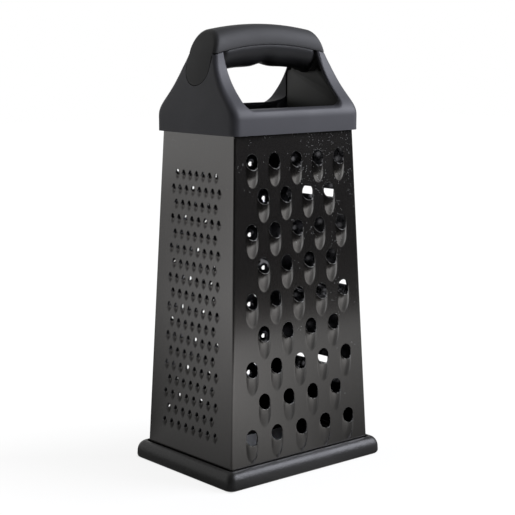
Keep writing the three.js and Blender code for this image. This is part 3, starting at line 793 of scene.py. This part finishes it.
cap_points, cap_faces = [], []
post_columns = end_columns + corner_columns + front_columns + 1
post = [point for row, height in enumerate(cap_heights)
        for point in post_row(height, row >= top_heights_start)]
for end_side in (-1, 1):
    for face_side in (-1, 1):
        flip = end_side * face_side < 0
        add_grid(cap_points, cap_faces, post, post_columns, end_side, face_side, flip)
        returns = []
        for row in range(window_rows, len(cap_heights)):
            height = cap_heights[row]
            edge = post[row * post_columns + post_columns - 1]
            x, across, drop = edge_of_window(height)
            wall_end = return_half_depth
            if face_side < 0:
                wall_end = reach_at(shoulder, height) - liner_lap + liner_gap
            corner_share = 1 - math.acos(across) / (math.pi / 2)
            returns += window_return(edge[0], across, drop, edge[2], corner_share, wall_end)
        add_grid(cap_points, cap_faces, returns, return_columns, end_side, face_side, flip)
sill_xs = steps_between(-edge_centre_x, edge_centre_x, sill_columns) + [edge_centre_x]
band = [(x, reach_at(shoulder, height), height)
        for height in cap_heights[:window_rows + 1] for x in sill_xs]
sill = [point for x in sill_xs
        for point in window_return(x, 0, 1, cap_heights[window_rows], 0, return_half_depth)]
for face_side in (-1, 1):
    add_grid(cap_points, cap_faces, band, len(sill_xs), 1, face_side, face_side > 0)
    add_grid(cap_points, cap_faces, sill, return_columns, 1, face_side, face_side < 0)


def close_seams(piece):
    """Joins the points that neighbouring grids share."""
    seam_gap = 0.002 * MM
    shell = bmesh.new()
    shell.from_mesh(piece.data)
    bmesh.ops.remove_doubles(shell, verts=shell.verts, dist=seam_gap)
    shell.to_mesh(piece.data)
    shell.free()


cap_plastic = moulded_plastic("matt_moulded_polypropylene", "#3e3e41", "#464649", dull=0.58, glossy=0.48)
cap = new_piece("cap_moulding", cap_points, cap_faces, cap_plastic)
close_seams(cap)
settle(cap, "handle_frame", sharp_degrees=50, thickness=cap_wall)

# Grip cover
# A soft rubber skin moulded over the top of the grip. At each end it runs down in a round tongue that
# lies flush in a pocket of the post, with a fine line round it.
grip_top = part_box("grip_cover")[1].z
arch_radius = 180 * MM
cover_wall = 1.6 * MM
cover_edge = 0.2 * MM
cover_squareness = 2.3
top_fillet = 2.2 * MM
half_cover_columns, cover_rows, fillet_columns, face_columns, neck_rows = 22, 40, 4, 8, 5


def cover_section(x, angle):
    """A point of the grip's upper side, which goes over from the front parting line to the rear one."""
    base = parting_at(x)
    height = grip_top - arch_radius + math.sqrt(arch_radius ** 2 - x ** 2) - base
    y, z = oval(reach_at(shoulder, base), height, cover_squareness, angle)
    return -y, z, base


def cover_strip(angle):
    """Points from the middle of the grip to its end face, and on to the middle of that face."""
    fillet = neck_corner + (top_fillet - neck_corner) * math.sin(angle) ** 2
    limit = neck_half_width - fillet
    rounds = 8
    for _ in range(rounds):
        y, z, base = cover_section(limit, angle)
        limit = reach_at(flank, base + z) - fillet
    strip = []
    for step in range(half_cover_columns + 1):
        x = limit * step / half_cover_columns
        y, z, base = cover_section(x, angle)
        strip.append((x, y, base + z))
    y, z, base = cover_section(limit, angle)
    radius = math.hypot(y, z)
    seam_angle = math.acos(1 - (reach_at(shoulder, base) - tongue_half_width) / neck_corner)
    turns = steps_between(0, seam_angle, fillet_columns)[1:]
    turns += steps_between(seam_angle, math.pi / 2, fillet_columns) + [math.pi / 2]
    shrinks = [(1 - fillet * (1 - math.cos(turn)) / radius, fillet * (1 - math.sin(turn)))
               for turn in turns]
    shrinks += [(shrinks[-1][0] * (1 - step / face_columns), 0) for step in range(1, face_columns + 1)]
    for shrink, short in shrinks:
        height = base + z * shrink
        crown = end_crown * (1 - shrink ** 2)
        strip.append((reach_at(flank, height) - short + crown, y * shrink, height))
    return strip


strips = [cover_strip(math.pi * row / cover_rows) for row in range(cover_rows + 1)]
dome = [point for strip in strips for point in strip]
seam_start = half_cover_columns + fillet_columns
seam = strips[0][seam_start:] + strips[-1][seam_start:-1][::-1]
seam_half_width = abs(seam[0][1])
lows = steps_between(seam[0][2], tongue_centre, neck_rows)[1:]
lows += [tongue_centre - tongue_half_width * math.sin(angle) for angle in quarter_turns(tongue_rows)]
tongue = list(seam)
for height in lows:
    half = math.sqrt(tongue_half_width ** 2 - max(0, tongue_centre - height) ** 2)
    ys = [point[1] / seam_half_width * half for point in seam]
    tongue += [(end_reach(y, height), y, height) for y in ys]
cover_points, cover_faces = [], []
for end_side in (-1, 1):
    add_grid(cover_points, cover_faces, dome, len(strips[0]), end_side, 1, end_side < 0)
    add_grid(cover_points, cover_faces, tongue, len(seam), end_side, 1, end_side > 0)

grip_rubber = soft_rubber("#262626", "#2e2e2e", shine=0.5, glossy=0.62, dull=0.74,
                          grain_size=0.8 * MM, grain_strength=0.2)
cover = new_piece("grip_cover_skin", cover_points, cover_faces, grip_rubber)
close_seams(cover)
settle(cover, "grip_cover", sharp_degrees=50, thickness=cover_wall, bevel=cover_edge)

# Grip underside
# A hard half shell of moulded polypropylene that closes the grip from below, pushed up into it along the
# parting line. It is wavy along its length, to seat the fingers.
underside_half_length = 31.4 * MM
underside_low = 208.1 * MM
underside_inset = 0.1 * MM
underside_edge = 0.05 * MM
underside_roof = 1.5 * MM
end_drop = 3.5 * MM
middle_notch = 1.6 * MM
notch_half_width = 5 * MM
tuck_depth = 1.6 * MM
tuck_length = 2.9 * MM
hairline = 0.35 * MM
underside_columns, underside_rows = 64, 20
underside_points = []
for column in range(underside_columns + 1):
    share = 2 * column / underside_columns - 1
    x = underside_half_length * share
    top = parting_at(x) - hairline
    bottom = underside_low - end_drop * share ** 4 + middle_notch * math.exp(-(x / notch_half_width) ** 2)
    tuck = tuck_depth * smooth((abs(x) - underside_half_length + tuck_length) / tuck_length)
    half_depth = reach_at(shoulder, parting_at(x)) - underside_inset - tuck
    for row in range(underside_rows + 1):
        y, z = oval(half_depth, top - bottom, squareness=2, angle=math.pi * row / underside_rows)
        underside_points.append((x, -y, top - z))
    underside_points.append((x, 0, top + underside_roof))
section = underside_rows + 2
underside_faces = grid_faces(underside_columns + 1, section, wrap_columns=True)
underside_faces.append(list(range(section))[::-1])
underside_faces.append(list(range(underside_columns * section, (underside_columns + 1) * section)))
# A darker plastic than the cap's, made darker still by painted shade: part of the shade under the grip is
# painted into its colour.
underside_plastic_with_painted_shade = moulded_plastic("satin_moulded_polypropylene", "#1f1f20", "#252526",
                                    dull=0.5, glossy=0.42)
underside = new_piece("grip_underside_shell", underside_points, underside_faces, underside_plastic_with_painted_shade)
settle(underside, "grip_underside", sharp_degrees=50, bevel=underside_edge)

# Post liners
# Two small plates of smooth moulded polypropylene that close the hollow inner sides of the posts. Each
# is pushed in from below and held by two clips at its top edge.
liner_bottom = 184.8 * MM
liner_top = 205.8 * MM
liner_rear = 14.1 * MM
liner_inner = 32.4 * MM
liner_outer = 33.9 * MM
liner_edge = 0.4 * MM
clip_top = 207 * MM
clip_half_width = 1.5 * MM
clip_offset = 9.5 * MM
liner_steps = 8
liner_outline = [(liner_rear, liner_bottom), (liner_rear, liner_top)]
for y in (clip_offset, -clip_offset):
    liner_outline += [(y + clip_half_width, liner_top), (y + clip_half_width, clip_top),
                      (y - clip_half_width, clip_top), (y - clip_half_width, liner_top)]
for height in steps_between(liner_top, liner_bottom, liner_steps) + [liner_bottom]:
    liner_outline.append((liner_lap - reach_at(shoulder, height), height))
# The liners' dark olive colour is partly their own and partly painted shade from inside the window.
liner_plastic_with_painted_shade = moulded_plastic("smooth_moulded_polypropylene", "#181814", "#1e1e1a", dull=0.5, glossy=0.4)
for name, end_side in (("left", -1), ("right", 1)):
    liner_points = [(end_side * reach, y, z)
                    for reach in (liner_inner, liner_outer) for y, z in liner_outline]
    count = len(liner_outline)
    liner_faces = [list(range(count)), list(range(2 * count - 1, count - 1, -1))]
    liner_faces += [(corner, corner + count, (corner + 1) % count + count, (corner + 1) % count)
                    for corner in range(count)]
    liner_faces = [face[::-1] if end_side > 0 else face for face in liner_faces]
    liner = new_piece("post_liner_plate_" + name, liner_points, liner_faces, liner_plastic_with_painted_shade)
    settle(liner, "post_liner_" + name, sharp_degrees=30, bevel=liner_edge)

# Table, light and camera
# A white table that runs back to a white wall, with the room in front of it in the dark, and a soft
# window light from the front and the right.
table_front = -0.4
table_back = 2.5
table_half_width = 2.5
table_corners = [(-table_half_width, table_front, 0), (table_half_width, table_front, 0),
                 (table_half_width, table_back, 0), (-table_half_width, table_back, 0)]

# Matt white paint. The camera sees it nearly white, and less so close to the object, where it keeps the
# shadow. Distances on the table are counted in half widths and half depths of the object's foot.
table_paint, paint_tree, table_place = new_material("matt_white_paint")
matt = add_node(paint_tree, "ShaderNodeBsdfDiffuse", {"Color": linear("#f4f4f4")})
seen = add_node(paint_tree, "ShaderNodeEmission", {"Color": linear("#ffffff"), "Strength": 1.04})
ray = add_node(paint_tree, "ShaderNodeLightPath").outputs
in_foot_halves = add_node(paint_tree, "ShaderNodeVectorMath", {
    "operation": "MULTIPLY", 1: (1 / cad_box[1].x, 1 / cad_box[1].y, 0)}, {0: table_place})
sides = add_node(paint_tree, "ShaderNodeVectorMath", {"operation": "ABSOLUTE"}, {0: in_foot_halves})
axes = add_node(paint_tree, "ShaderNodeSeparateXYZ", links={0: sides}).outputs
distance = add_node(paint_tree, "ShaderNodeMath", {"operation": "MAXIMUM"}, {0: axes["X"], 1: axes["Y"]})
outside = add_node(paint_tree, "ShaderNodeMapRange", {
    "From Min": 0.9, "From Max": 1, "To Max": 0.86}, {"Value": distance})
away = add_node(paint_tree, "ShaderNodeMapRange", {
    "From Min": 1, "From Max": 4, "To Max": 0.14}, {"Value": distance})
whiteness = add_node(paint_tree, "ShaderNodeMath", {"operation": "ADD"}, {0: outside, 1: away})
camera_share = add_node(paint_tree, "ShaderNodeMath", {"operation": "MULTIPLY"}, {
    0: ray["Is Camera Ray"], 1: whiteness})
table_look = add_node(paint_tree, "ShaderNodeMixShader", links={0: camera_share, 1: matt, 2: seen})

# The coated sheets mirror the table. What they see of it is painted light, brighter or darker by bearing,
# which is how far back a spot lies for each step sideways, with a painted shadow close to the object's
# foot and painted darkness under it.
signed_axes = add_node(paint_tree, "ShaderNodeSeparateXYZ", links={0: in_foot_halves}).outputs
bearing = add_node(paint_tree, "ShaderNodeMath", {"operation": "DIVIDE"}, {
    0: signed_axes["Y"], 1: axes["X"]})
# Painted light: the level the sheets mirror is set by bearing, not by a lamp.
painted_rear_light = add_node(paint_tree, "ShaderNodeMapRange", {
    "From Min": 1.42, "From Max": 1.66, "To Min": 1.19, "To Max": 0.46}, {"Value": bearing})
painted_front_light = add_node(paint_tree, "ShaderNodeMapRange", {
    "From Min": -2.8, "From Max": -1.2, "To Min": 2.2, "To Max": 0.9}, {"Value": bearing})
behind = add_node(paint_tree, "ShaderNodeMath", {"operation": "GREATER_THAN", 1: 0}, {0: signed_axes["Y"]})
painted_light_level = add_node(paint_tree, "ShaderNodeMix", {"data_type": "FLOAT"}, {
    0: behind, 2: painted_front_light, 3: painted_rear_light})
# Painted shadow: the mirrored light drops close to the object's foot, more so towards the back.
painted_shadow_start, painted_shadow_end, painted_shadow_depth = [
    add_node(paint_tree, "ShaderNodeMapRange", {
        "From Min": 1.15, "From Max": 1.42, "To Min": sideways, "To Max": backwards}, {"Value": bearing})
    for sideways, backwards in ((1, 2.4), (8.7, 13), (0.2, 0.08))]
painted_shadow_falloff = add_node(paint_tree, "ShaderNodeMapRange", links={
    "Value": distance, "From Min": painted_shadow_start, "From Max": painted_shadow_end, "To Min": painted_shadow_depth})
# The mirrored light is also painted out under the object, as painted shade.
clear = add_node(paint_tree, "ShaderNodeMath", {"operation": "MULTIPLY"}, {0: painted_shadow_falloff, 1: outside})
painted_mirror_level = add_node(paint_tree, "ShaderNodeMath", {"operation": "MULTIPLY"}, {0: painted_light_level, 1: clear})
mirrored = add_node(paint_tree, "ShaderNodeEmission", {"Color": linear("#ffffff")}, {
    "Strength": painted_mirror_level})
mixed = add_node(paint_tree, "ShaderNodeMixShader", links={
    0: ray["Is Glossy Ray"], 1: table_look, 2: mirrored})
add_node(paint_tree, "ShaderNodeOutputMaterial", links={"Surface": mixed})
table = new_piece("table", table_corners, [(0, 1, 2, 3)], table_paint)

# The room: a white wall behind the object that fades into the dark towards the front. It shows in gloss
# at its full level, lights the object softly, and is white to the camera.
wall_direction = (-0.3, 0.954, 0)
room_level, wall_level = 0.03, 0.92
soft_share = 0.29
room = bpy.data.worlds.new("room")
room.use_nodes = True
room_tree = room.node_tree
room_tree.nodes.clear()
direction = add_node(room_tree, "ShaderNodeTexCoord").outputs["Generated"]
towards_wall = add_node(room_tree, "ShaderNodeVectorMath", {
    "operation": "DOT_PRODUCT", 1: wall_direction}, {0: direction})
glow_level = add_node(room_tree, "ShaderNodeMapRange", {
    "interpolation_type": "SMOOTHSTEP", "From Min": 0.05, "From Max": 0.6,
    "To Min": room_level, "To Max": wall_level}, {"Value": towards_wall.outputs["Value"]})
room_ray = add_node(room_tree, "ShaderNodeLightPath").outputs
gloss_share = add_node(room_tree, "ShaderNodeMapRange", {"To Min": soft_share, "To Max": 1}, {
    "Value": room_ray["Is Glossy Ray"]})
level = add_node(room_tree, "ShaderNodeMath", {"operation": "MULTIPLY"}, {0: glow_level, 1: gloss_share})
glow = add_node(room_tree, "ShaderNodeBackground", {"Color": linear("#ffffff")}, {"Strength": level})
white = add_node(room_tree, "ShaderNodeBackground", {"Color": linear("#ffffff"), "Strength": 1})
room_mix = add_node(room_tree, "ShaderNodeMixShader", links={
    0: room_ray["Is Camera Ray"], 1: glow, 2: white})
add_node(room_tree, "ShaderNodeOutputWorld", links={"Surface": room_mix})
bpy.context.scene.world = room

object_middle = (cad_box[0] + cad_box[1]) / 2
window_place = Vector((1.02, -0.82, 0.95))
lamp = bpy.data.lights.new("window_light", "AREA")
lamp.shape = "DISK"
lamp.size = 1.2
lamp.energy = 38
lamp.color = linear("#f2f4ff")[:3]
window_light = bpy.data.objects.new("window_light", lamp)
window_light.location = window_place
window_light.rotation_euler = (window_place - object_middle).to_track_quat("Z", "Y").to_euler()
bpy.context.scene.collection.objects.link(window_light)

camera_place = (-461.0 * MM, -541.9 * MM, 224.0 * MM)
camera_back = Vector((-0.6391, -0.7521, 0.1609))
camera = bpy.data.objects.new("camera", bpy.data.cameras.new("camera"))
camera.data.sensor_width = 36
camera.data.lens = 95.19
camera.location = camera_place
camera.rotation_euler = camera_back.to_track_quat("Z", "Y").to_euler()
bpy.context.scene.collection.objects.link(camera)
bpy.context.scene.camera = camera
bpy.context.scene.view_settings.view_transform = "Standard"
